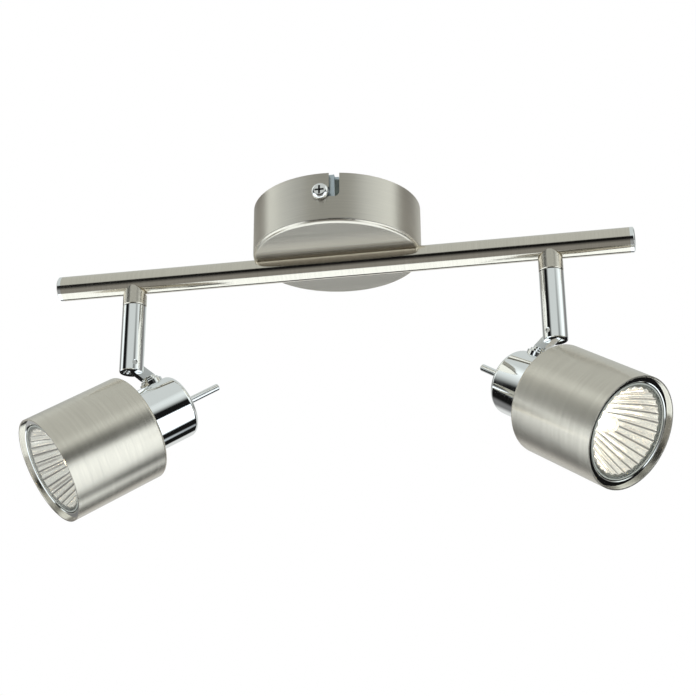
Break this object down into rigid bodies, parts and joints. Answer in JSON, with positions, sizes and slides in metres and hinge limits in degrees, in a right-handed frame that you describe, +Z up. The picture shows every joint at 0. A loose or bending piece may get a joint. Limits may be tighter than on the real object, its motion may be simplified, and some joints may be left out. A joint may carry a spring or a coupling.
{
  "type": "ceiling spotlight bar",
  "caption": "Ceiling light: round brushed canopy, straight bar, swivelling stems and tilting cylindrical shades with reflector lamps.",
  "frame": {"origin": "centre of the canopy on the ceiling plane, on the mounting bracket's upper face", "axes": "+Z up into the ceiling, +X along the bar, +Y horizontal across the bar; the light hangs below z = 0"},
  "size_m": [0.3478, 0.1008, 0.1746],
  "materials": {
    "satin_nickel": "drawn and brushed satin nickel, warm grey",
    "satin_nickel_tube": "satin nickel tube, brushed around its girth",
    "brushed_shade": "brushed steel, fine grooves around the girth",
    "chrome": "polished chrome plate",
    "satin_cast": "warm satin nickel casting",
    "zinc_plate": "bluish zinc-plated sheet steel",
    "zinc_screw": "bright zinc-plated screw",
    "brass": "plain brass",
    "terminal_plastic": "off-white polyamide",
    "lead_brown": "brown insulated core",
    "lead_blue": "blue insulated core",
    "lead_earth": "green-yellow insulated core",
    "ceramic": "unglazed white ceramic",
    "reflector_glass": "faceted aluminised glass",
    "clear_glass": "clear lamp glass",
    "ring_metal": "satin aluminium ring",
    "friction": "spring steel"
  },
  "bodies": {
    "bracket": {"mounting_bracket": "zinc_plate", "earth_screw": "brass", "canopy_screws": "zinc_screw"},
    "canopy_and_bar": {"canopy": "satin_nickel", "bar_tube": "satin_nickel_tube", "bar_end_cap_left": "chrome", "bar_end_cap_right": "chrome", "bar_nipple": "zinc_screw", "saddle_washer": "zinc_plate", "bar_nut": "zinc_screw", "terminal_block": "terminal_plastic", "terminal_screws": "brass", "lead_live": "lead_brown", "lead_neutral": "lead_blue", "lead_earth": "lead_earth", "collar_left": "satin_nickel_tube", "friction_washer_left": "friction", "collar_right": "satin_nickel_tube", "friction_washer_right": "friction"},
    "stem_left": {"stem_left": "chrome", "swivel_stud_left": "zinc_screw", "swivel_nut_left": "zinc_screw", "pivot_pin_left": "zinc_screw"},
    "head_left": {"knuckle_left": "satin_cast", "knuckle_screw_left": "zinc_screw", "holder_cap_left": "chrome", "handle_pin_left": "chrome", "handle_nut_left": "zinc_screw", "shade_left": "brushed_shade", "shade_ring_nut_left": "ring_metal", "retaining_ring_left": "ring_metal", "lamp_holder_left": "ceramic", "holder_screws_left": "zinc_screw"},
    "lamp_left": {"lamp_reflector_left": "reflector_glass", "lamp_glass_left": "clear_glass", "lamp_capsule_left": "clear_glass", "lamp_base_left": "ceramic", "lamp_contacts_left": "zinc_screw"},
    "stem_right": {"stem_right": "chrome", "swivel_stud_right": "zinc_screw", "swivel_nut_right": "zinc_screw", "pivot_pin_right": "zinc_screw"},
    "head_right": {"knuckle_right": "satin_cast", "knuckle_screw_right": "zinc_screw", "holder_cap_right": "chrome", "handle_pin_right": "chrome", "handle_nut_right": "zinc_screw", "shade_right": "brushed_shade", "shade_ring_nut_right": "ring_metal", "retaining_ring_right": "ring_metal", "lamp_holder_right": "ceramic", "holder_screws_right": "zinc_screw"},
    "lamp_right": {"lamp_reflector_right": "reflector_glass", "lamp_glass_right": "clear_glass", "lamp_capsule_right": "clear_glass", "lamp_base_right": "ceramic", "lamp_contacts_right": "zinc_screw"}
  },
  "joints": [
    {"name": "canopy_twist", "type": "hinge", "parent": "bracket", "child": "canopy_and_bar", "pos_m": [0, 0, 0], "axis": [0, 0, 1], "range_deg": [-9, 0]},
    {"name": "stem_swivel_left", "type": "hinge", "parent": "canopy_and_bar", "child": "stem_left", "pos_m": [-0.1175, 0, -0.048], "axis": [0, 0, 1], "range_deg": [-170, 170]},
    {"name": "head_tilt_left", "type": "hinge", "parent": "stem_left", "child": "head_left", "pos_m": [-0.1175, 0, -0.0835], "axis": [0.5736, -0.8192, 0], "range_deg": [-33, 52]},
    {"name": "lamp_twist_left", "type": "hinge", "parent": "head_left", "child": "lamp_left", "pos_m": [-0.10309, 0.01009, -0.11059], "axis": [-0.687, -0.481, -0.5446], "range_deg": [0, 20]},
    {"name": "stem_swivel_right", "type": "hinge", "parent": "canopy_and_bar", "child": "stem_right", "pos_m": [0.1175, 0, -0.048], "axis": [0, 0, 1], "range_deg": [-170, 170]},
    {"name": "head_tilt_right", "type": "hinge", "parent": "stem_right", "child": "head_right", "pos_m": [0.1175, 0, -0.0835], "axis": [0.5736, 0.8192, 0], "range_deg": [-33, 52]},
    {"name": "lamp_twist_right", "type": "hinge", "parent": "head_right", "child": "lamp_right", "pos_m": [0.10309, 0.01009, -0.11059], "axis": [0.687, -0.481, -0.5446], "range_deg": [0, 20]}
  ]
}
